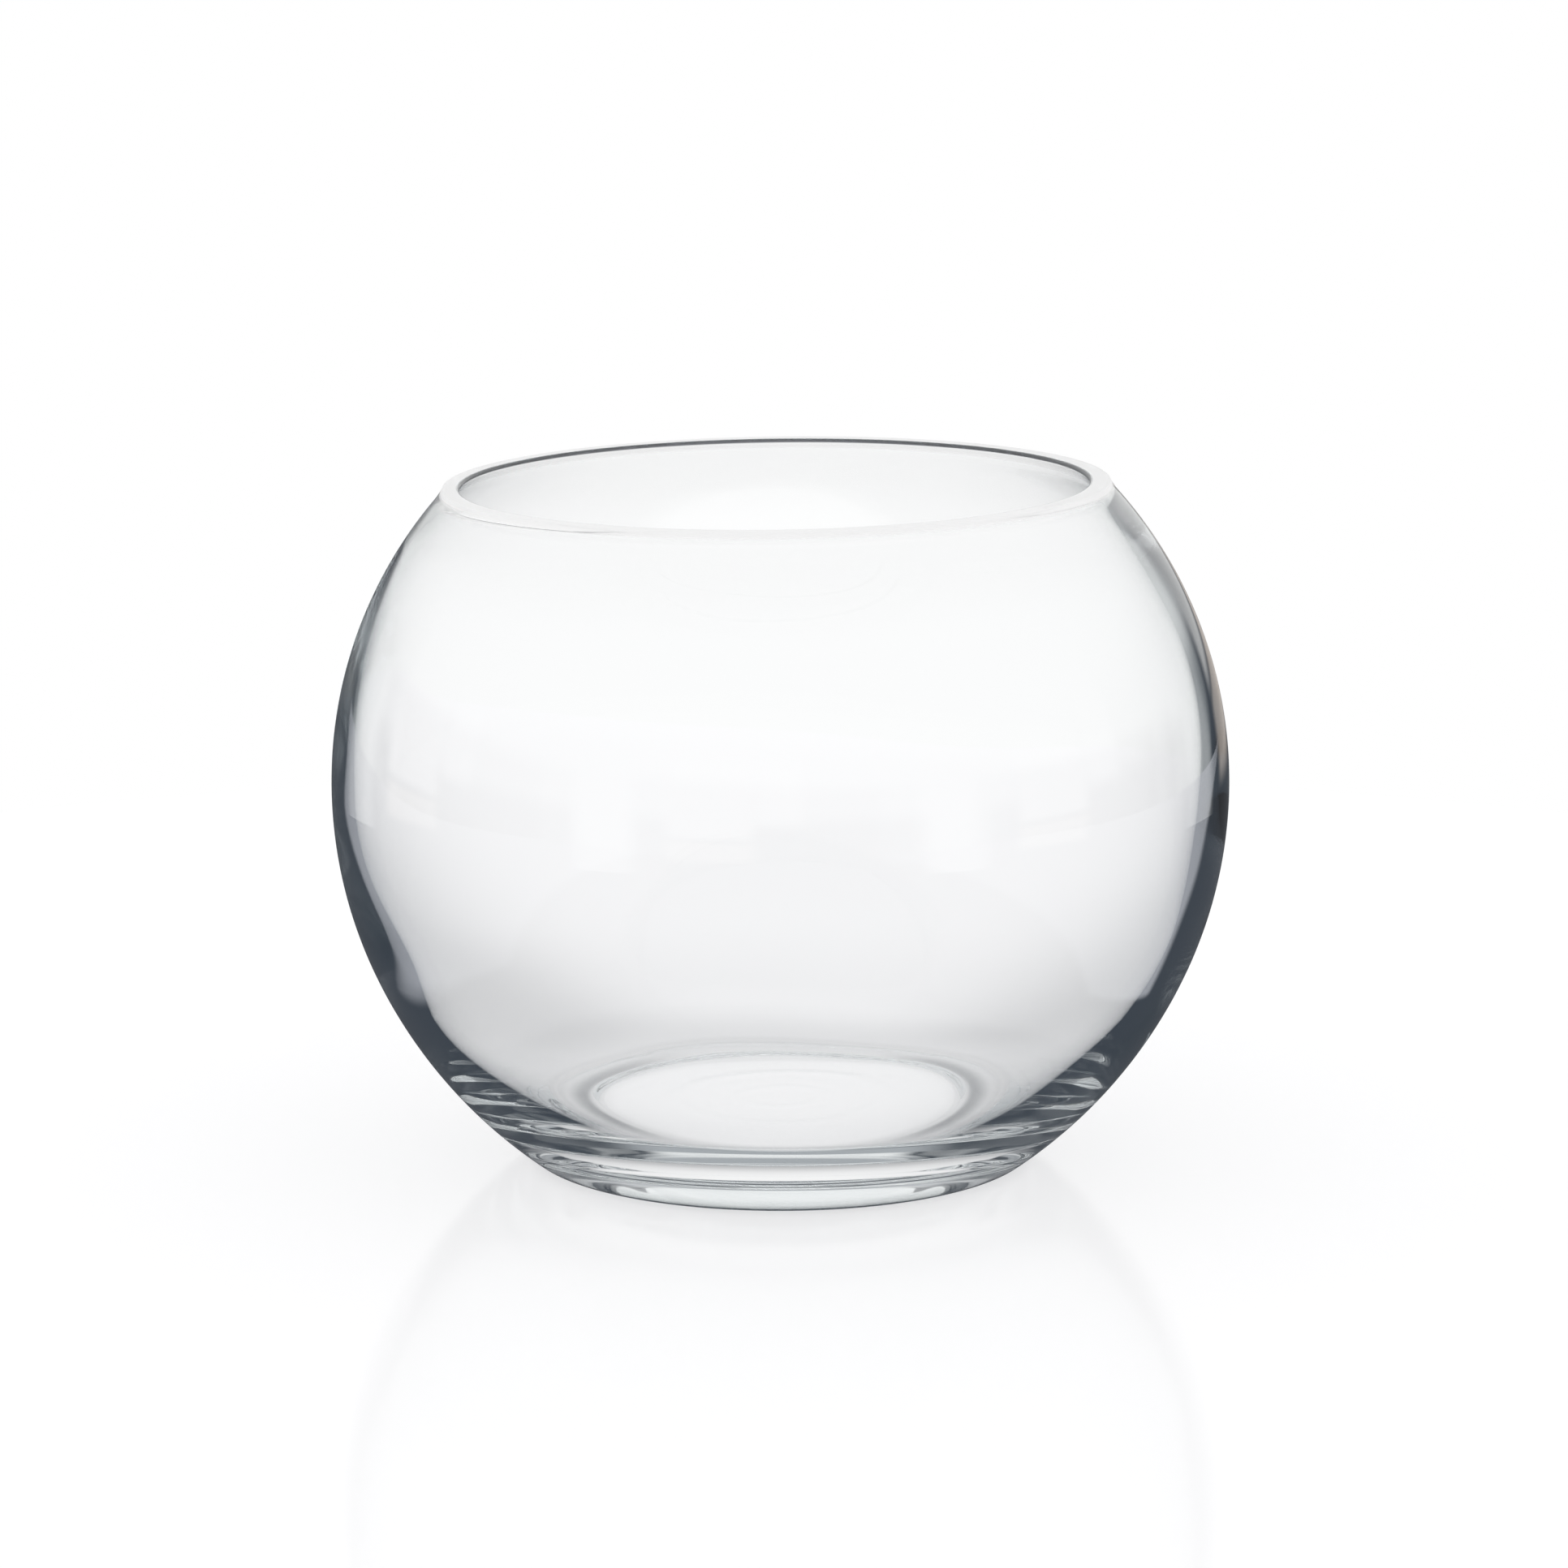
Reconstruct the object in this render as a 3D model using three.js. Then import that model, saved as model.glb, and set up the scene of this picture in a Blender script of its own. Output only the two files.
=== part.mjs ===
// Fishbowl vase: one round bowl of clear blown glass with a cut rim and a thick base.
// The whole bowl is a single closed profile turned about the vertical axis.
// Millimetres, +Z up. The origin is the centre of the foot, on the surface that the bowl stands on.
import * as THREE from "three";

// Outside of the bowl
const bowlDiameter = 200; // widest point of the outer wall, the waist
const mouthDiameter = 147.6; // outer edge of the cut rim
const hipAngle = 25; // degrees below the waist where the wall starts to straighten towards the foot
const hipRadius = 108; // outer arc from there down to the heel
const heelRadius = 6; // rounded edge between wall and foot
const footDiameter = 106.4; // outer edge of the flat ring that the bowl stands on
const footRingWidth = 8.2; // flat ring, from its outer edge to the recess under the base
const recessDepth = 1; // height of the level plate inside the ring
const recessStep = 5; // width of the rounded slope between ring and plate

// Inside of the bowl
const rimWidth = 5.2; // level width of the cut rim
const rimBevel = 0.6; // ground edge on both sides of the rim
const waistWall = 5.4; // glass at the widest point
const floorThickness = 11.5; // from the foot's plane up to the inner floor
const floorDiameter = 87.3; // flat part of the inner floor
const floorCorner = 34.6; // inner rounding between floor and wall

// Fineness of the facets
const sides = 64; // round the axis
const chordGap = 0.15; // most that a facet of the profile may leave its arc

const radians = THREE.MathUtils.degToRad;
const bowlRadius = bowlDiameter / 2;
const mouthRadius = mouthDiameter / 2;
const footRadius = footDiameter / 2;
const ringRadius = footRadius - footRingWidth;
const plateRadius = ringRadius - recessStep;
const floorRadius = floorDiameter / 2;
const waistRadius = bowlRadius - waistWall;
const lipRadius = mouthRadius - rimWidth;

// Points along an arc about (x, z), from one angle to another, as many as its radius asks for.
function arc(x, z, radius, from, to) {
  const largestStep = 2 * Math.acos(1 - chordGap / radius);
  const steps = Math.max(2, Math.ceil(Math.abs(to - from) / largestStep));
  return Array.from({ length: steps + 1 }, (_, i) => {
    const angle = from + ((to - from) * i) / steps;
    return new THREE.Vector2(x + radius * Math.cos(angle), z + radius * Math.sin(angle));
  });
}

// The hip arc continues the round wall without a corner, so its centre lies on the line from the
// bowl's centre through the point where they meet. Both are measured from the bowl's centre.
const hip = radians(hipAngle);
const hipX = (bowlRadius - hipRadius) * Math.cos(hip);
const hipZ = -(bowlRadius - hipRadius) * Math.sin(hip);

// The heel touches the foot's plane at the foot ring's edge and the hip arc from inside, which
// gives the height of the bowl's centre, the waist, above the foot.
const heelDrop = Math.sqrt((hipRadius - heelRadius) ** 2 - (footRadius - hipX) ** 2);
const waistHeight = heelRadius + heelDrop - hipZ;
const heelAngle = -Math.atan2(heelDrop, footRadius - hipX);

// Height of the rim, where the round wall has narrowed to the mouth.
const rimRise = Math.sqrt(bowlRadius ** 2 - mouthRadius ** 2);
const rimHeight = waistHeight + rimRise;
const rimEdgeRise = rimRise - rimBevel;

// Inner wall above the waist: an arc that stands upright at the waist and ends at the lip.
const lipInset = waistRadius - lipRadius;
const shoulderRadius = (lipInset ** 2 + rimEdgeRise ** 2) / (2 * lipInset);
const shoulderX = waistRadius - shoulderRadius;

// Inner wall below the waist: an arc that stands upright at the waist and runs into the floor's
// rounded corner, so the glass thickens steadily towards the base.
const cornerZ = floorThickness + floorCorner - waistHeight;
const floorInset = waistRadius - floorRadius;
const bellyRadius = (floorInset ** 2 + cornerZ ** 2 - floorCorner ** 2) / (2 * (floorInset - floorCorner));
const bellyX = waistRadius - bellyRadius;
const cornerAngle = Math.atan2(cornerZ, floorRadius - bellyX);

// The slope under the base is two equal arcs, level where they meet the plate and the ring.
const stepRadius = (recessStep ** 2 + recessDepth ** 2) / (4 * recessDepth);
const stepAngle = Math.asin(recessStep / (2 * stepRadius));

function bowlProfile() {
  const top = Math.PI / 2;
  const points = [
    new THREE.Vector2(0, recessDepth),
    ...arc(plateRadius, recessDepth - stepRadius, stepRadius, top, top - stepAngle),
    ...arc(ringRadius, stepRadius, stepRadius, -top - stepAngle, -top),
    ...arc(footRadius, heelRadius, heelRadius, -top, heelAngle),
    ...arc(hipX, waistHeight + hipZ, hipRadius, heelAngle, -hip),
    ...arc(0, waistHeight, bowlRadius, -hip, 0),
    ...arc(0, waistHeight, bowlRadius, 0, Math.asin(rimEdgeRise / bowlRadius)),
    new THREE.Vector2(mouthRadius - rimBevel, rimHeight),
    new THREE.Vector2(lipRadius, rimHeight),
    ...arc(shoulderX, waistHeight, shoulderRadius, Math.asin(rimEdgeRise / shoulderRadius), 0),
    ...arc(bellyX, waistHeight, bellyRadius, 0, cornerAngle),
    ...arc(floorRadius, floorThickness + floorCorner, floorCorner, cornerAngle, -top),
    new THREE.Vector2(0, floorThickness),
  ];
  return points.filter((point, i) => i === 0 || point.distanceTo(points[i - 1]) > 1e-4);
}

const clearGlass = new THREE.MeshStandardMaterial({
  name: "clear_glass",
  color: 0xe9eff1,
  roughness: 0.03,
  metalness: 0,
  transparent: true,
  opacity: 0.3,
});

const bowlGeometry = new THREE.LatheGeometry(bowlProfile(), sides);
bowlGeometry.rotateX(Math.PI / 2);

const glassBowl = new THREE.Mesh(bowlGeometry, clearGlass);
glassBowl.name = "glass_bowl";

const fishbowlVase = new THREE.Group();
fishbowlVase.add(glassBowl);

export default fishbowlVase;
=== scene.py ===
import math
import bpy
import numpy as np
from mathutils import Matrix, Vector


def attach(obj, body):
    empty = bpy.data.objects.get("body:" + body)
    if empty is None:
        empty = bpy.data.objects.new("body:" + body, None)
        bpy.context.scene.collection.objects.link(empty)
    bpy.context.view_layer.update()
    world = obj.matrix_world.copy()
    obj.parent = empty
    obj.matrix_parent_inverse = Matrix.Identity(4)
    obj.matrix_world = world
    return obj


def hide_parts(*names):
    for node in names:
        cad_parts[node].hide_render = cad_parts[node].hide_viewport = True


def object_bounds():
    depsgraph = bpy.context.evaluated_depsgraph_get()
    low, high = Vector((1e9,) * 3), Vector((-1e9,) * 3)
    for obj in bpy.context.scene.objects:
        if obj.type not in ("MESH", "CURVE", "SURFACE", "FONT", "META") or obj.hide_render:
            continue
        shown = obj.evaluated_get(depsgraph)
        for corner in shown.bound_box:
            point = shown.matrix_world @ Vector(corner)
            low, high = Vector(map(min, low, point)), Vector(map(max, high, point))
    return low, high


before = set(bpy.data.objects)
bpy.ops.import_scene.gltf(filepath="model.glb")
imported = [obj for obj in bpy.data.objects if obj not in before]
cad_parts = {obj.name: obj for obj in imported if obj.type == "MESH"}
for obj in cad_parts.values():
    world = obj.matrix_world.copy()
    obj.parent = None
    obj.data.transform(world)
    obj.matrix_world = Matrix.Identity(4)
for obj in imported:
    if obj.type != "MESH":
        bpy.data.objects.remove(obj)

cadLow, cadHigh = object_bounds()
scene = bpy.context.scene
print("frame loaded:", sorted(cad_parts))


# A shader socket that can be written in sums: each operator adds its Math node.
class Wire:
    def __init__(self, tree, socket=None):
        self.tree = tree
        self.socket = socket

    # any node, from its type, its settings and the values or links of its sockets
    def node(self, kind, settings=None, inputs=None, output=0):
        made = self.tree.nodes.new(kind)
        for name, value in (settings or {}).items():
            setattr(made, name, value)
        for name, value in (inputs or {}).items():
            if isinstance(value, Wire):
                self.tree.links.new(value.socket, made.inputs[name])
            else:
                made.inputs[name].default_value = value
        return Wire(self.tree, made.outputs[output] if len(made.outputs) else None)

    # another output of the same node
    def out(self, name):
        return Wire(self.tree, self.socket.node.outputs[name])

    # one Math node on one or two values
    def maths(self, operation, a, b=0.0):
        return self.node("ShaderNodeMath", {"operation": operation}, {0: a, 1: b})

    def __add__(self, other):
        return self.maths("ADD", self, other)

    def __radd__(self, other):
        return self.maths("ADD", other, self)

    def __sub__(self, other):
        return self.maths("SUBTRACT", self, other)

    def __rsub__(self, other):
        return self.maths("SUBTRACT", other, self)

    def __mul__(self, other):
        return self.maths("MULTIPLY", self, other)

    def __rmul__(self, other):
        return self.maths("MULTIPLY", other, self)

    def __gt__(self, other):
        return self.maths("GREATER_THAN", self, other)

    def __lt__(self, other):
        return self.maths("LESS_THAN", self, other)

    # 0 below low, 1 above high, and a smooth rise between them
    def rise(self, low, high):
        return self.node(
            "ShaderNodeMapRange",
            {"interpolation_type": "SMOOTHSTEP"},
            {"Value": self, "From Min": low, "From Max": high},
        )

    # one colour where this value is 0, another where it is 1
    def between(self, colourA, colourB):
        return self.node("ShaderNodeMix", {"data_type": "RGBA"}, {0: self, 6: colourA, 7: colourB}, 2)


# A material whose node tree is still empty, and the wire that fills it.
def newMaterial(name):
    made = bpy.data.materials.new(name)
    made.use_nodes = True
    made.node_tree.nodes.clear()
    return made, Wire(made.node_tree)


# The glass bowl, in metres
bowl = {
    "waistDiameter": cadHigh.x - cadLow.x,
    "height": cadHigh.z - cadLow.z,
    "mouthDiameter": 0.1477,
    "upperRadius": 0.0973,  # above the waist the outer wall closes a little faster than a ball
    "lipFlare": 0.0135,  # radius of the slight outward turn just under the rim
    "hipAngle": math.radians(25),  # below the waist, where the wall starts to straighten
    "hipRadius": 0.108,
    "heelRadius": 0.006,
    "footDiameter": 0.1064,
    "footRingWidth": 0.0082,
    "recessDepth": 0.001,  # of the level plate inside the foot ring
    "recessStep": 0.005,  # width of the slope between them
    "pressRings": ((0.00005, 0.0235, 0.0025), (0.00003, 0.0094, 0.002)),  # height, radius and span
    "shadedFoot": math.radians(45),  # from this slope on, the heel gets a painted dark shade line,
    "shadedFootFull": math.radians(58),  # and from this one it has all of it
    "rimWidth": 0.0052,
    "rimEdge": 0.00035,  # rounding of the ground rim's outer edge
    "lipEdge": 0.0008,  # rounding of its inner edge
    "lipShadeRows": 5,  # rows of that rounding, from near its top, that get a painted dark shade line
    "rimStrip": 0.0018,  # height of the strip that the grinding left outside under the rim
    "rimStripMatt": 0.0007,  # the upper part of it, which is as matt as the rim
    "rimHaze": 0.05,  # share of the grinding that dulls the wall further down
    "rimHazeFull": 0.0077,  # how far under the rim it starts to fade,
    "rimHazeReach": 0.023,  # and ends
    "waistWall": 0.0054,
    "floorThickness": 0.0115,
    "floorDiameter": 0.0873,
    "floorCorner": 0.0346,
    "rimTilt": math.radians(0.78),  # the rim was cut a little lower on the left
    # blown glass is uneven: amount, level and span of each bell curve, level 0 at the floor, 1 at the rim
    "thinShoulder": (0.00115, 0.75, 0.2),  # the wall is thinner above the waist
    "thickHip": (-0.00037, 0.28, 0.12),  # and thicker low down
    "shoulderShift": (0.0017, 0.89, 0.25),  # the hollow lies left of the outside at the shoulder,
    "waistShift": (0.00054, 0.46, 0.16),  # less so at the waist,
    "hipShift": (-0.00024, 0.28, 0.09),  # right of that lower down
    "baseShift": (0.00027, 0.12, 0.08),  # and left again above the floor
    "shiftAtRim": 0.3,  # share of the shoulder's shift that reaches the rim
    "rimLevel": 0.9,  # from here up the unevenness fades out
    "floorLevel": 0.05,  # and from here down the shift does
    "ripple": 0.00003,  # waver of the inner face
    "rippleWaves": ((3, 26, 0), (7, -17, 1.3)),  # waves round the bowl, turn per level and start
    "rippleLevels": (0.12, 0.25),  # where the waver sets in above the floor
    "around": 240,  # columns of the mesh
}

# Rows of the mesh on each stretch of the bowl's outline
bowlRows = {
    "plate": 52,
    "step": 8,
    "ring": 5,
    "heel": 24,
    "hip": 30,
    "ball": 44,
    "upper": 48,
    "flare": 10,
    "edge": 7,
    "rim": 8,
    "lip": 10,
    "shoulder": 50,
    "belly": 50,
    "corner": 36,
    "floor": 14,
}


# Points on an arc about (x, z): radius times cosine and sine of evenly stepped angles.
def arc(x, z, radius, start, end, count):
    angle = np.linspace(start, end, count)
    return np.stack([x + radius * np.cos(angle), z + radius * np.sin(angle)], axis=1)


# Points on a straight line, evenly stepped.
def line(start, end, count):
    share = np.linspace(0, 1, count)[:, None]
    return np.array(start) * (1 - share) + np.array(end) * share


# A smooth rise from 0 at low to 1 at high: 3 t squared less 2 t cubed.
def smoothRise(value, low, high):
    t = np.clip((value - low) / (high - low), 0, 1)
    return t * t * (3 - 2 * t)


# A swell: an amount times a bell curve, the exponential of minus the squared distance from its
# middle in spans.
def swell(value, amount, middle, span):
    return amount * np.exp(-(((value - middle) / span) ** 2))


# The bowl's outline in the plane of its axis, from the recess underneath, round the heel, up the
# outer wall, over the rim, down the inner wall and in to the middle of the floor.
# Each stretch is a line or an arc that is tangent to its neighbours. Its points' heights are from
# the foot; hipZ, flareZ, cornerZ and rimRise are heights from the waist.
def bowlProfile(s, n):
    quarter = math.pi / 2
    hair = 1e-6
    outer = s["waistDiameter"] / 2
    mouth = s["mouthDiameter"] / 2
    foot = s["footDiameter"] / 2
    # lower outer wall: the hip arc meets the ball at the hip and the heel arc at the foot
    hipX = (outer - s["hipRadius"]) * math.cos(s["hipAngle"])
    hipZ = -(outer - s["hipRadius"]) * math.sin(s["hipAngle"])
    heel = s["heelRadius"]
    heelDrop = math.sqrt((s["hipRadius"] - heel) ** 2 - (foot - hipX) ** 2)
    heelAngle = -math.atan2(heelDrop, foot - hipX)
    waist = heel + heelDrop - hipZ
    s["waistHeight"] = waist
    # upper outer wall, and the flare that carries it out to the rim
    rimRise = math.sqrt(outer**2 - mouth**2)
    rimTop = waist + rimRise
    upper = s["upperRadius"]
    upperX = outer - upper
    flare = s["lipFlare"]
    toFlare = upper + flare
    toRim = math.hypot(mouth - upperX, rimRise)
    bend = math.acos((toFlare**2 + toRim**2 - flare**2) / (2 * toFlare * toRim))
    flareAngle = math.atan2(rimRise, mouth - upperX) - bend
    flareX = upperX + toFlare * math.cos(flareAngle)
    flareZ = toFlare * math.sin(flareAngle)
    edge = s["rimEdge"]
    edgeX = flareX - math.sqrt((flare + edge) ** 2 - (flareZ - rimRise + edge) ** 2)
    edgeAngle = math.atan2(flareZ - rimRise + edge, flareX - edgeX)
    # inner wall: one arc above the waist, one below it, and the corner of the floor
    inner = outer - s["waistWall"]
    lipInset = inner - (mouth - s["rimWidth"])
    shoulder = (lipInset**2 + rimRise**2) / (2 * lipInset)
    shoulderX = inner - shoulder
    lip = s["lipEdge"]
    lipX = shoulderX + math.sqrt((shoulder + lip) ** 2 - (rimRise - lip) ** 2)
    lipAngle = math.atan2(rimRise - lip, lipX - shoulderX)
    floorEdge = s["floorDiameter"] / 2
    floorTop = s["floorThickness"]
    corner = s["floorCorner"]
    cornerZ = floorTop + corner - waist
    inset = inner - floorEdge
    belly = (inset**2 + cornerZ**2 - corner**2) / (2 * (inset - corner))
    bellyX = inner - belly
    cornerAngle = math.atan2(cornerZ, floorEdge - bellyX)
    # the recess under the foot: a level plate, and a step of two arcs down to the foot ring
    ring = foot - s["footRingWidth"]
    depth = s["recessDepth"]
    plate = ring - s["recessStep"]
    step = (s["recessStep"] ** 2 + depth**2) / (4 * depth)
    stepAngle = math.asin(s["recessStep"] / (2 * step))
    level = line((0, depth), (plate, depth), n["plate"])[1:]
    level[:, 1] += sum(swell(level[:, 0], *press) for press in s["pressRings"])
    outside = [
        level,
        arc(plate, depth - step, step, quarter, quarter - stepAngle, n["step"])[1:],
        arc(ring, step, step, 3 * quarter - stepAngle, 3 * quarter, n["step"])[1:],
        line((ring, 0), (foot, 0), n["ring"])[1:-1],
        arc(foot, heel, heel, -quarter, heelAngle, n["heel"]),
        arc(hipX, waist + hipZ, s["hipRadius"], heelAngle, -s["hipAngle"], n["hip"])[1:],
        arc(0, waist, outer, -s["hipAngle"], 0, n["ball"])[1:],
        arc(upperX, waist, upper, 0, flareAngle, n["upper"])[1:],
        arc(flareX, waist + flareZ, flare, math.pi + flareAngle, math.pi + edgeAngle, n["flare"])[1:],
        arc(edgeX, rimTop - edge, edge, edgeAngle, quarter, n["edge"])[1:],
        line((edgeX, rimTop), (lipX, rimTop), n["rim"])[1:-1],
    ]
    inside = [
        arc(lipX, rimTop - lip, lip, quarter, math.pi + lipAngle, n["lip"]),
        arc(shoulderX, waist, shoulder, lipAngle, 0, n["shoulder"])[1:],
        arc(bellyX, waist, belly, 0, cornerAngle, n["belly"])[1:],
        arc(floorEdge, floorTop + corner, corner, cornerAngle, -quarter, n["corner"])[1:],
        line((floorEdge, floorTop), (0, floorTop), n["floor"])[1:-1],
    ]
    poles = [(0.0, 0.0, depth), (0.0, 0.0, floorTop)]
    rows = np.concatenate(outside + inside)
    number = np.arange(len(rows))
    rimEnd = sum(len(part) for part in outside)
    isInside = number >= rimEnd
    isRim = (number >= rimEnd - len(outside[-1]) - len(outside[-2])) & (number <= rimEnd)
    # the matt share: the whole rim, a strip outside under it, and a haze further down both walls
    below = rimTop - rows[:, 1]
    haze = s["rimHaze"] * smoothRise(below, s["rimHazeReach"], s["rimHazeFull"])
    strip = smoothRise(below, s["rimStrip"], s["rimStripMatt"]) * ~isInside
    ground = np.where(isRim, 1.0, np.maximum(haze, strip))
    # painted shade: dark lines on the upper part of the lip's rounding and the lower part of the heel's
    isShadedLip = (number > rimEnd + 1) & (number <= rimEnd + 1 + s["lipShadeRows"])
    slope = np.arctan2(heel - rows[:, 1], rows[:, 0] - foot)
    isHeel = (rows[:, 0] > foot - hair) & (rows[:, 1] < heel) & ~isInside
    shadedFoot = isHeel * smoothRise(slope, s["shadedFoot"], s["shadedFootFull"])
    marks = {"groundRim": ground, "shadedLipEdge": isShadedLip, "shadedFoot": shadedFoot}
    return rows, isInside, marks, poles


# The bowl's surface: the outline's radius and height turned about the axis by the second parameter.
# The hollow is moved sideways, and its radius changed, by bell curves of the level, and the radius
# also wavers by two crossing sines. Most of it fades out at the floor and at the rim.
# Above the waist each point is also turned about the bowl's centre by a small angle that grows
# towards the rim, which tilts the cut and leaves the round wall round.
def makeBowl(s, n):
    rows, isInside, marks, poles = bowlProfile(s, n)
    turn = np.linspace(0, 2 * math.pi, s["around"], endpoint=False)
    z = np.repeat(rows[:, 1, None], s["around"], axis=1)
    level = (z - s["floorThickness"]) / (s["height"] - s["floorThickness"])
    toRim = 1 - smoothRise(level, s["rimLevel"], 1)
    shift = swell(level, *s["shoulderShift"]) * (s["shiftAtRim"] + (1 - s["shiftAtRim"]) * toRim)
    shift = shift + sum(swell(level, *s[name]) for name in ("waistShift", "hipShift", "baseShift"))
    shift = shift * isInside[:, None] * smoothRise(level, 0, s["floorLevel"])
    wider = swell(level, *s["thinShoulder"]) * toRim + swell(level, *s["thickHip"])
    waver = sum(np.sin(waves * turn + twist * level + start) for waves, twist, start in s["rippleWaves"])
    wider = wider + s["ripple"] * waver * smoothRise(level, *s["rippleLevels"]) * toRim
    radius = rows[:, 0, None] + wider * isInside[:, None]
    x = radius * np.cos(turn) - shift
    y = radius * np.sin(turn)
    tilt = s["rimTilt"] * smoothRise(z, s["waistHeight"], s["height"])
    fromWaist = z - s["waistHeight"]
    z = s["waistHeight"] + x * np.sin(tilt) + fromWaist * np.cos(tilt)
    x = x * np.cos(tilt) - fromWaist * np.sin(tilt)
    grid = np.stack([x, y, z], axis=2).reshape(-1, 3)
    points = np.concatenate([grid, poles])
    index = np.arange(len(grid)).reshape(len(rows), s["around"])
    beside = np.roll(index, -1, axis=1)
    quads = np.stack([index[:-1], beside[:-1], beside[1:], index[1:]], axis=2).reshape(-1, 4)
    under = np.stack([beside[0], index[0], np.full(s["around"], len(grid))], axis=1)
    floor = np.stack([index[-1], beside[-1], np.full(s["around"], len(grid) + 1)], axis=1)
    mesh = bpy.data.meshes.new("glassBowl")
    mesh.from_pydata(points.tolist(), [], quads.tolist() + under.tolist() + floor.tolist())
    mesh.polygons.foreach_set("use_smooth", np.ones(len(mesh.polygons), bool))
    for name, mark in marks.items():
        values = np.concatenate([np.repeat(mark, s["around"]), [0, 0]]).astype(np.float32)
        mesh.attributes.new(name, "FLOAT", "POINT").data.foreach_set("value", values)
    mesh.update()
    piece = bpy.data.objects.new("glassBowl", mesh)
    scene.collection.objects.link(piece)
    return piece


glass = {
    "tint": (1.0, 1.0, 1.0, 1.0),
    "paintedLipShade": (0.02, 0.022, 0.027, 1.0),  # painted shade: a dark line on the rim's inner edge
    "paintedFootShade": (0.04, 0.05, 0.06, 1.0),  # and on the edge of the foot,
    "lipShadeFromInside": 0.2,  # which both show less from inside the glass
    "footShadeFromInside": 0.15,
    "ior": 1.5,
    "absorbColour": (0.55, 0.68, 0.72, 1.0),
    "absorbDensity": 1.3,  # per metre
    "groundShare": 0.88,  # the cut rim is ground, so most of it is matt
    "groundColour": (0.88, 0.88, 0.88, 1.0),
    "groundRoughness": 0.6,
}


# Refracting glass with a weak tint in its depth, mixed with a matt surface by the ground share.
# Painted shade darkens its colour in lines at the lip's edge and the heel, less so where a ray meets them
# from inside the glass.
def clearGlass(s):
    material, wire = newMaterial("clearGlass")
    ground = wire.node("ShaderNodeAttribute", {"attribute_name": "groundRim"}, {}, "Fac")
    # the masks of the painted dark shade lines at the lip's edge and the heel
    edge = wire.node("ShaderNodeAttribute", {"attribute_name": "shadedLipEdge"}, {}, "Fac")
    foot = wire.node("ShaderNodeAttribute", {"attribute_name": "shadedFoot"}, {}, "Fac")
    inside = wire.node("ShaderNodeNewGeometry", {}, {}, "Backfacing")
    # the painted shade lines show less from inside the glass
    edge = edge * (1 - (1 - s["lipShadeFromInside"]) * inside)
    foot = foot * (1 - (1 - s["footShadeFromInside"]) * inside)
    surface = wire.node(
        "ShaderNodeBsdfPrincipled",
        {},
        {
            # the base colour carries the painted shade lines
            "Base Color": foot.between(edge.between(s["tint"], s["paintedLipShade"]), s["paintedFootShade"]),
            "Roughness": 0.0,
            "IOR": s["ior"],
            "Transmission Weight": 1.0,
        },
    )
    matt = wire.node(
        "ShaderNodeBsdfPrincipled",
        {},
        {"Base Color": s["groundColour"], "Roughness": s["groundRoughness"], "IOR": s["ior"]},
    )
    glowing = wire.node("ShaderNodeBsdfTranslucent", {}, {"Color": s["groundColour"]})
    matt = wire.node("ShaderNodeMixShader", {}, {0: inside, 1: matt, 2: glowing})
    surface = wire.node("ShaderNodeMixShader", {}, {0: ground * s["groundShare"], 1: surface, 2: matt})
    volume = wire.node(
        "ShaderNodeVolumeAbsorption",
        {},
        {"Color": s["absorbColour"], "Density": s["absorbDensity"]},
    )
    wire.node("ShaderNodeOutputMaterial", {}, {"Surface": surface, "Volume": volume})
    return material


glassBowl = makeBowl(bowl, bowlRows)
glassBowl.data.materials.append(clearGlass(glass))
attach(glassBowl, "root")
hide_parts("glass_bowl")
print("bowl made:", len(glassBowl.data.vertices), "points")


# The studio: a white table and wall, and round them a dim room that only reflections meet.
# The room is darkest straight behind, in front and at the sides, and lighter between and above.
studio = {
    "white": (1.0, 1.0, 1.0, 1.0),
    "wallSeen": (1.0, 1.005, 1.005, 1.0),  # the wall as it shows through the glass
    "tableSeen": (1.01, 1.01, 1.02, 1.0),  # and the table
    "slate": (0.042, 0.054, 0.07, 1.0),  # the room, where light has turned round inside the glass
    "roomGrey": (0.26, 0.285, 0.3, 1.0),  # its corners
    "roomLight": (0.66, 0.69, 0.69, 1.0),  # its upper part
    "tableSideShade": (0.43, 0.45, 0.49, 1.0),  # painted shade on the table's left and right
    "backGlow": (0.42, 0.44, 0.46, 1.0),  # the wall, after many turns inside the glass
    "farTurns": (0.74, 0.75, 0.76, 1.0),  # and what many turns in a far wall show
    "litInside": (1.0, 1.0, 0.99, 1.0),  # the overhead light
    "farWall": (0.9, 0.91, 0.91, 1.0),
    "farTable": (0.8, 0.8, 0.82, 1.0),
    "sheen": (0.085, 0.09, 0.1, 1.0),  # the room, mirrored by the outer face
    "outerLight": (0.72, 0.73, 0.73, 1.0),  # its upper part and corners
    "panel": (0.95, 0.95, 0.94, 1.0),  # a soft panel to the right of each dark side
    "warmPanel": (0.68, 0.62, 0.57, 1.0),
    "glow": (1.045, 1.045, 1.055, 1.0),  # the table as the camera meets it
    "tableWhite": (0.98, 0.98, 0.98, 1.0),
}


# How a ray came: mirrored at all, through glass at all, through few walls, mirrored many times.
def rayHistory(wire):
    path = wire.node("ShaderNodeLightPath")
    glossy = path.out("Glossy Depth")
    passed = path.out("Transmission Depth")
    return {
        "mirrored": glossy > 0.5,
        "through": passed > 0.5,
        "fewWalls": passed < 3.5,
        "manyTurns": glossy > 1.5,
        "sharp": path.out("Is Singular Ray"),
        "scattered": path.out("Is Diffuse Ray"),
        "camera": path.out("Is Camera Ray"),
    }


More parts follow.
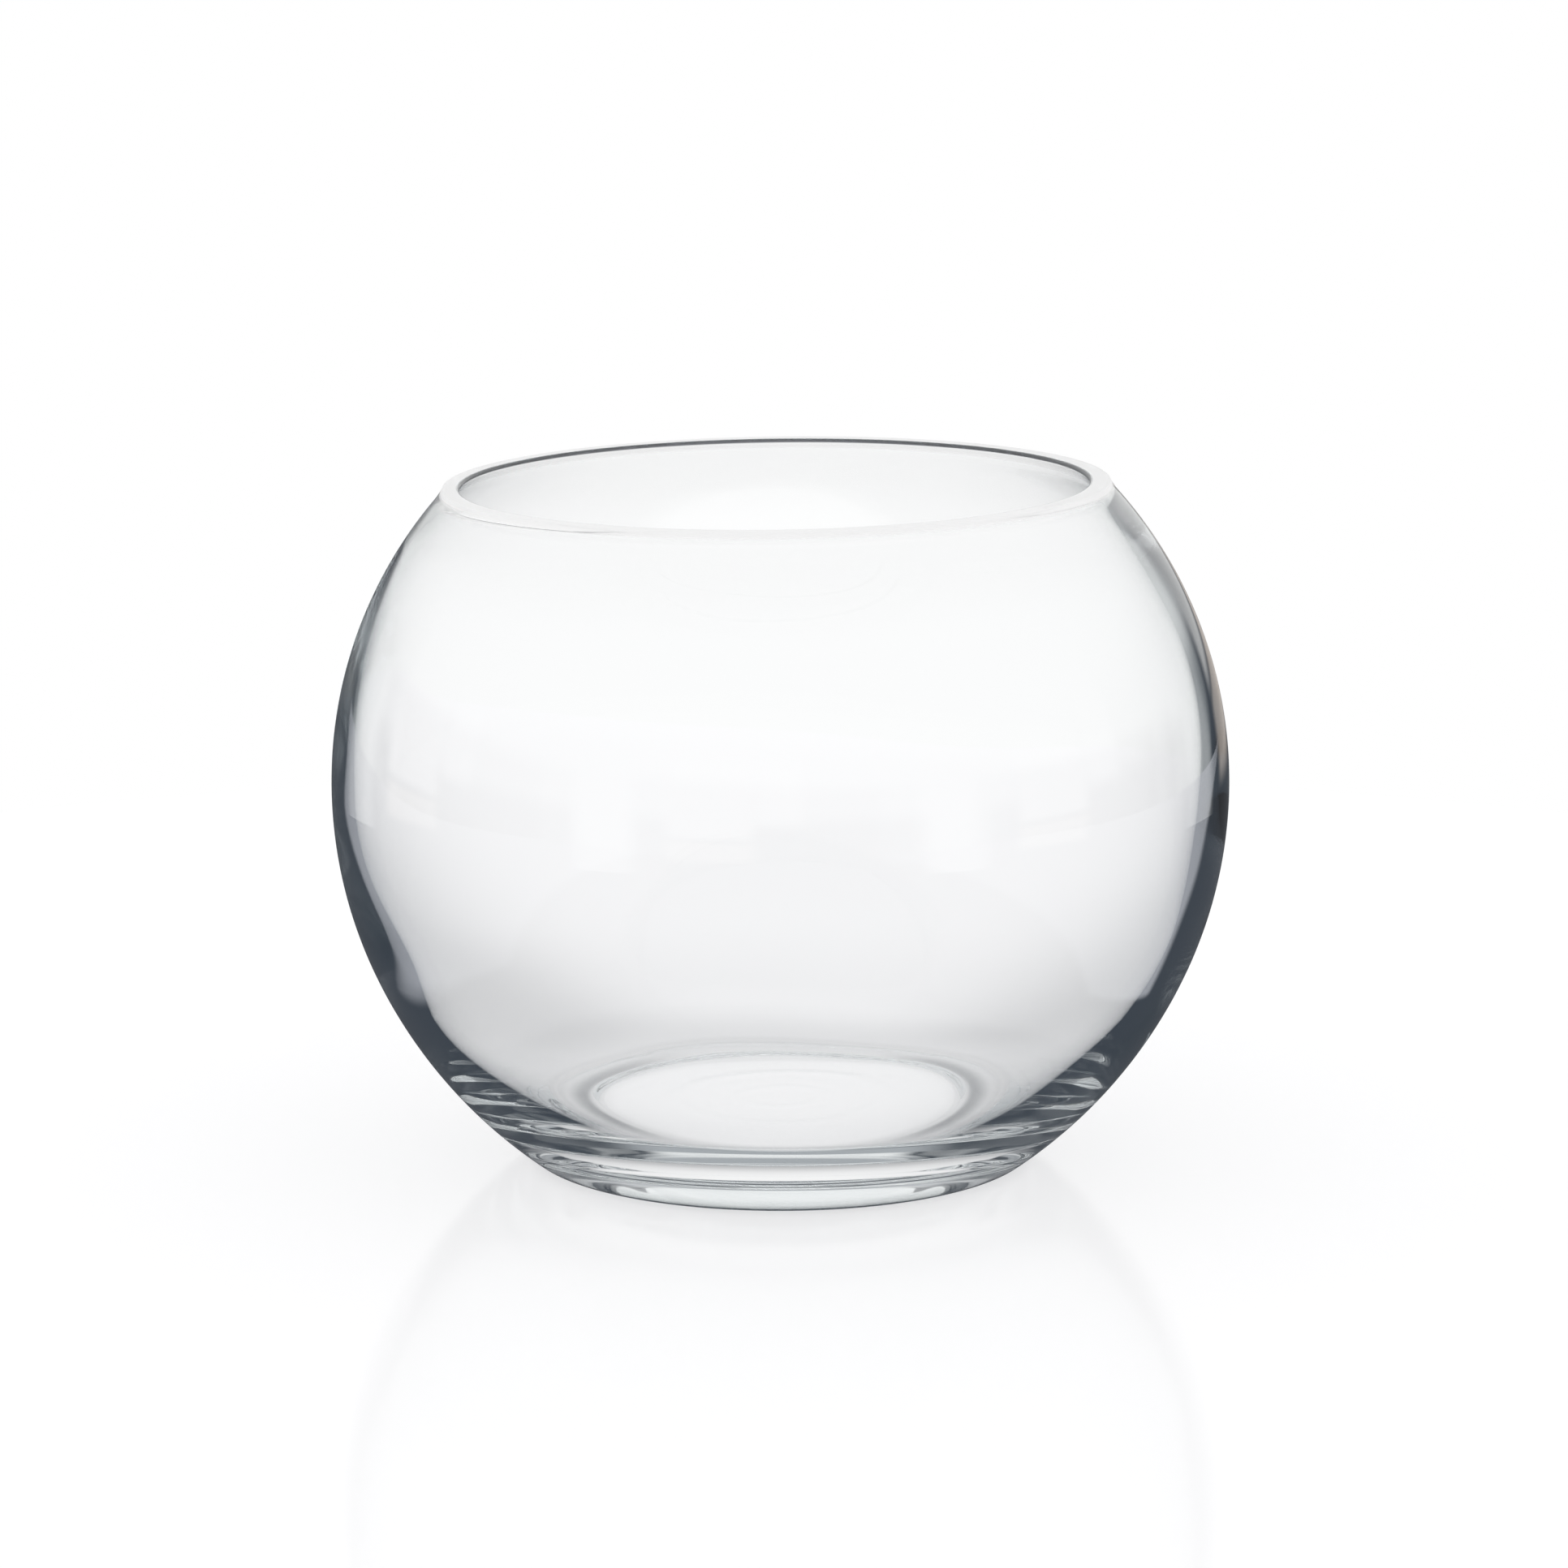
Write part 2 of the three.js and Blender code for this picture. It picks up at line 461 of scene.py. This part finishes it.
# The colour a ray meets: plain white, or what is seen through glass, or once it was mirrored
# what the outer face, the inside of a wall, the far wall or many turns inside the glass show.
def surroundings(ray, s, seen, outer, turned, far, manyTurns):
    throughGlass = ray["fewWalls"].between(far, turned)
    throughGlass = ray["manyTurns"].between(throughGlass, ray["fewWalls"].between(s["farTurns"], manyTurns))
    mirroredColour = ray["through"].between(outer, throughGlass)
    straightColour = ray["through"].between(s["white"], seen)
    colour = ray["mirrored"].between(straightColour, mirroredColour)
    return ray["scattered"].between(colour, s["white"])


# Where the room's lights lie. Each span runs from where a light starts to where it is full.
# Heights are sines of the angle above level; facing is 1 straight behind, in front and at the
# sides and -1 in the corners between; right is above 0 to the right of those directions.
room = {
    "sides": 4,
    "behind": (0.84, 0.95),  # sine of the turn, 1 straight behind
    "litHeight": (-0.03, 0.07),
    "litCorner": (-0.72, -0.97),
    "greyCorner": (-0.1, -0.45),
    "panelRight": (0.3, 0.6),
    "panelFacing": (-0.55, -0.2),
    "panelHeight": (-0.085, -0.045),
    "warmFrom": (-0.18, -0.15),
    "warmTo": (-0.07, -0.095),
    "glareFacing": (0.88, 0.98),
    "glareHeight": (-0.03, 0.06),
    "skyHeight": (0.1, 0.4),
    "farHeight": (-0.1, 0.3),
    "backGlowHeight": (-0.05, 0.05),
    "overheadHeight": (0.86, 0.9),
    "behindHeight": (0.4, 0.65),  # straight behind, the overhead light reaches further down
    "cornerLight": 0.25,  # and a little of it is left in the corners
    "cornerLightFacing": (-0.5, -0.9),
    "cornerLightHeight": (0.6, 0.75),
}


# 1 where either of two shares is 1: one less the product of what each leaves.
def either(a, b):
    return 1 - (1 - a) * (1 - b)


# The wall and the room as light from every direction: the colours mixed by smooth rises of height
# and facing, a set for each way in which a ray can come.
def makeWorld(s, r):
    world = bpy.data.worlds.new("studioRoom")
    world.use_nodes = True
    world.node_tree.nodes.clear()
    wire = Wire(world.node_tree)
    ray = rayHistory(wire)
    direction = wire.node("ShaderNodeTexCoord", {}, {}, "Generated")
    axes = wire.node("ShaderNodeSeparateXYZ", {}, {"Vector": direction}, "X")
    height = axes.out("Z")
    angle = wire.maths("ARCTAN2", axes.out("Y"), axes)
    facing = wire.maths("COSINE", r["sides"] * angle)
    right = wire.maths("SINE", r["sides"] * angle) * -1.0
    behind = wire.maths("SINE", angle).rise(*r["behind"])
    lit = either(height.rise(*r["litHeight"]), facing.rise(*r["litCorner"]))
    # what a ray meets after it turned round inside a wall
    turned = facing.rise(*r["greyCorner"]).between(s["slate"], s["roomGrey"])
    turned = lit.between(turned, s["roomLight"])
    # what the outer face mirrors: the room, a panel with a warm foot, and white above
    beside = right.rise(*r["panelRight"]) * facing.rise(*r["panelFacing"])
    warm = height.rise(*r["warmFrom"]) * height.rise(*r["warmTo"])
    glare = facing.rise(*r["glareFacing"]) * height.rise(*r["glareHeight"])
    outer = lit.between(s["sheen"], s["outerLight"])
    outer = (beside * height.rise(*r["panelHeight"])).between(outer, s["panel"])
    outer = (beside * warm).between(outer, s["warmPanel"])
    outer = glare.between(outer, s["white"])
    outer = height.rise(*r["skyHeight"]).between(outer, s["white"])
    outer = ray["sharp"].between(s["white"], outer)
    far = height.rise(*r["farHeight"]).between(s["farWall"], s["white"])
    # what many turns inside the glass lead to: a glow behind and the overhead light
    manyTurns = (behind * height.rise(*r["backGlowHeight"])).between(s["slate"], s["backGlow"])
    cornerLight = facing.rise(*r["cornerLightFacing"]) * height.rise(*r["cornerLightHeight"])
    above = either(height.rise(*r["overheadHeight"]), behind * height.rise(*r["behindHeight"]))
    above = either(above, r["cornerLight"] * cornerLight)
    manyTurns = above.between(manyTurns, s["litInside"])
    colour = surroundings(ray, s, s["wallSeen"], outer, turned, far, manyTurns)
    light = wire.node("ShaderNodeBackground", {}, {"Color": colour, "Strength": 1.0})
    wire.node("ShaderNodeOutputWorld", {}, {"Surface": light})
    scene.world = world


# The table. Each span runs from where a shade or light starts to where it is full, in metres from
# the bowl's axis, or to either side or behind where its name says so.
tableTop = {
    "radius": 0.45,
    "columns": 128,
    "gap": 0.0001,  # air between the foot and the table, so the glass keeps its own light
    "farShade": 0.012,  # what the table loses to shade away from its edge,
    "farSpan": (0.45, 0.38),
    "nearShade": 0.05,  # round the bowl,
    "nearSpan": (0.2, 0.1),
    "footShade": 0.18,  # close to the foot,
    "footSpan": (0.095, 0.055),
    "cornerShade": 0.22,  # towards its corners,
    "cornerFrom": (0.055, 0.085),
    "cornerTo": (0.42, 0.2),
    "cornerLeft": 0.12,  # a little more of it on the left of each corner,
    "clearMiddle": (0.037, 0.046),  # with none of these under the base,
    "ringShade": 0.45,  # and left and right where the foot ring stands
    "ringFrom": (0.0435, 0.0455),
    "ringTo": (0.052, 0.046),
    "ringSide": (0.02, 0.04),
    "litMiddle": (0.065, 0.045),  # the lit middle of the table, which the base shows
    "greyReach": (1.27, 1.34),  # the painted grey shade left and right, by the angle from the line of sight,
    "greySide": (0.121, 0.127),  # and by the distance to either side
    "greySweep": 1.69,  # its edge sweeps forward outwards, by this angle per metre,
    "greyRight": 0.353,  # and on the right lies further out, by this angle at the axis
    "greyRightSweep": 1.05,  # less this angle per metre
    "glowBehind": (0.1, 0.2),
    "glowSide": (0.1, 0.05),
    "frontFrom": (0.0567, 0.0587),  # the strip in front of the foot that the heel mirrors
    "frontTo": (0.0632, 0.0592),
    "frontSide": (0.046, 0.03),
    "shadowShare": 0.3,
    "mirrorShare": 0.08,
    "mirrorRoughness": 0.08,
}


# A round table top: a ring of points at one radius, a hair below the foot everywhere.
def tableMesh(t):
    turn = np.linspace(0, 2 * math.pi, t["columns"], endpoint=False)
    rim = np.stack([np.cos(turn), np.sin(turn), 0 * turn], axis=1) * t["radius"]
    rim[:, 2] = -t["gap"]
    mesh = bpy.data.meshes.new("tableTop")
    mesh.from_pydata(rim.tolist(), [], [list(range(t["columns"]))])
    mesh.update()
    return mesh


# A white table that glows evenly for the camera, with a soft shadow and a faint mirror image.
# Rays that come through glass meet its shades instead.
def whiteTable(s, t):
    material, wire = newMaterial("whiteTable")
    ray = rayHistory(wire)
    place = wire.node("ShaderNodeTexCoord", {}, {}, "Object")
    axes = wire.node("ShaderNodeSeparateXYZ", {}, {"Vector": place}, "X")
    radius = wire.node("ShaderNodeVectorMath", {"operation": "LENGTH"}, {0: place}, "Value")
    sideways = wire.maths("ABSOLUTE", axes)
    lengthways = wire.maths("ABSOLUTE", axes.out("Y"))
    # shades of the table seen straight through the glass
    turn = room["sides"] * wire.maths("ARCTAN2", axes.out("Y"), axes)
    corner = 0.5 - 0.5 * wire.maths("COSINE", turn)
    leftMore = 1 + t["cornerLeft"] * (1 + wire.maths("SINE", turn))
    corners = corner * corner * leftMore * radius.rise(*t["cornerFrom"]) * radius.rise(*t["cornerTo"])
    shade = t["farShade"] * radius.rise(*t["farSpan"]) + t["nearShade"] * radius.rise(*t["nearSpan"])
    shade = shade + t["footShade"] * radius.rise(*t["footSpan"]) + t["cornerShade"] * corners
    shade = shade * radius.rise(*t["clearMiddle"])
    ring = radius.rise(*t["ringFrom"]) * radius.rise(*t["ringTo"]) * sideways.rise(*t["ringSide"])
    shade = shade + t["ringShade"] * ring
    seen = shade.between(s["tableSeen"], s["slate"])
    # the table after one turn inside a wall, and after many
    # painted shade: grey to the left and right of the table, for rays that turned inside a wall
    fromSight = wire.maths("ARCTAN2", sideways, lengthways) + t["greySweep"] * radius
    rightLess = (axes > 0.0) * (t["greyRight"] - t["greyRightSweep"] * radius)
    sideShade = (fromSight - rightLess).rise(*t["greyReach"]) * sideways.rise(*t["greySide"])
    near = radius.rise(*t["litMiddle"])
    turned = near.between(sideShade.between(s["slate"], s["tableSideShade"]), s["white"])
    behind = axes.out("Y").rise(*t["glowBehind"]) * sideways.rise(*t["glowSide"])
    manyTurns = near.between(behind.between(s["slate"], s["backGlow"]), s["white"])
    # the table as the outer face mirrors it
    front = radius.rise(*t["frontFrom"]) * radius.rise(*t["frontTo"]) * sideways.rise(*t["frontSide"])
    outer = front.between(s["sheen"], s["white"])
    colour = surroundings(ray, s, seen, outer, turned, s["farTable"], manyTurns)
    colour = ray["camera"].between(colour, s["glow"])
    glow = wire.node("ShaderNodeEmission", {}, {"Color": colour, "Strength": 1.0})
    matt = wire.node("ShaderNodeBsdfDiffuse", {}, {"Color": s["tableWhite"]})
    shadow = ray["camera"] * t["shadowShare"]
    shaded = wire.node("ShaderNodeMixShader", {}, {0: shadow, 1: glow, 2: matt})
    gloss = wire.node(
        "ShaderNodeBsdfGlossy",
        {},
        {"Color": s["white"], "Roughness": t["mirrorRoughness"]},
    )
    mirror = ray["camera"] * t["mirrorShare"]
    top = wire.node("ShaderNodeMixShader", {}, {0: mirror, 1: shaded, 2: gloss})
    wire.node("ShaderNodeOutputMaterial", {}, {"Surface": top})
    return material


# The table, which is part of the stage and not of the vase.
def makeTable(s, t):
    table = bpy.data.objects.new("tableTop", tableMesh(t))
    scene.collection.objects.link(table)
    table.data.materials.append(whiteTable(s, t))


makeWorld(studio, room)
makeTable(studio, tableTop)
print("studio made")


# The camera: on the -Y side, a little above the waist, looking at the bowl's centre
view = {
    "distance": 1.4,
    "elevation": math.radians(10.95),
    "aimRight": 0.0008,
    "aimDown": 0.0007,
    "imageWidth": 1932,
    "bowlPixels": 553.2,  # radius of the bowl's outline in the picture
    "sensorWidth": 36.0,
}


# The outline of a ball is where the view just touches it, so the focal length in pixels is the
# outline's radius times the root of the squared distance in ball radii, less 1.
def makeCamera(s):
    radius = bowl["waistDiameter"] / 2
    focal = s["bowlPixels"] * math.sqrt((s["distance"] / radius) ** 2 - 1)
    data = bpy.data.cameras.new("camera")
    data.sensor_width = s["sensorWidth"]
    data.lens = focal / s["imageWidth"] * s["sensorWidth"]
    camera = bpy.data.objects.new("camera", data)
    scene.collection.objects.link(camera)
    centre = Vector((0, 0, bowl["waistHeight"]))
    back = Vector((0, -math.cos(s["elevation"]), math.sin(s["elevation"])))
    camera.location = centre + back * s["distance"]
    aim = centre + Vector((s["aimRight"], 0, -s["aimDown"]))
    camera.rotation_euler = (aim - camera.location).to_track_quat("-Z", "Y").to_euler()
    scene.camera = camera


makeCamera(view)
scene.view_settings.view_transform = "Standard"
mirrorTurns = 64  # light runs round inside thick glass
wallsPassed = 32
scene.cycles.max_bounces = mirrorTurns
scene.cycles.glossy_bounces = mirrorTurns
scene.cycles.transmission_bounces = wallsPassed
print("camera made")
